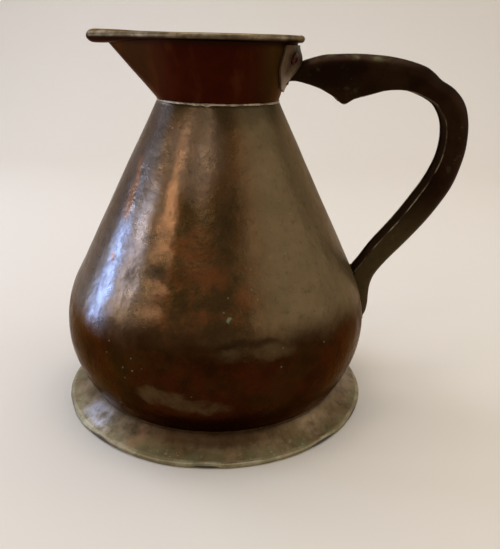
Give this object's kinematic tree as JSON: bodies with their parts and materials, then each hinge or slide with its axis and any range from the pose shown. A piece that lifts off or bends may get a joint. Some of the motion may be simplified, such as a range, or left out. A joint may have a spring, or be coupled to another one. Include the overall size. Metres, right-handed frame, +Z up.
{
  "type": "copper haystack jug",
  "caption": "Tall sheet-copper pouring jug: round belly drawn up in a cone to a narrow waist, funnel neck with a long spout, flared foot and hollow D-section handle with a thumb spur.",
  "frame": {"origin": "on the jug's axis, in the plane that the foot stands on", "axes": "+Z up the jug, -X towards the spout, +X towards the handle"},
  "size_m": [0.353, 0.2776, 0.3193],
  "materials": {
    "copper": "dark brown patinated copper, softly polished by handling",
    "neck_copper": "dark red-brown patinated copper",
    "foot_copper": "grey-brown copper with green in the edge",
    "handle_copper": "near-black patinated copper, worn along its edges",
    "solder": "dull soft solder",
    "iron_wire": "plain drawn wire, hidden in the rolled edges"
  },
  "bodies": {
    "root": {"body_shell": "copper", "bottom_disc": "copper", "bottom_solder": "solder", "foot_skirt": "foot_copper", "foot_wire": "iron_wire", "foot_solder": "solder", "neck_funnel": "neck_copper", "rim_wire": "iron_wire", "waist_solder": "solder", "handle_plate": "neck_copper", "plate_rivets": "copper", "rivet_burrs": "copper", "handle_shell": "handle_copper", "handle_strap": "handle_copper", "root_solder": "solder", "tail_solder": "solder"}
  },
  "joints": []
}
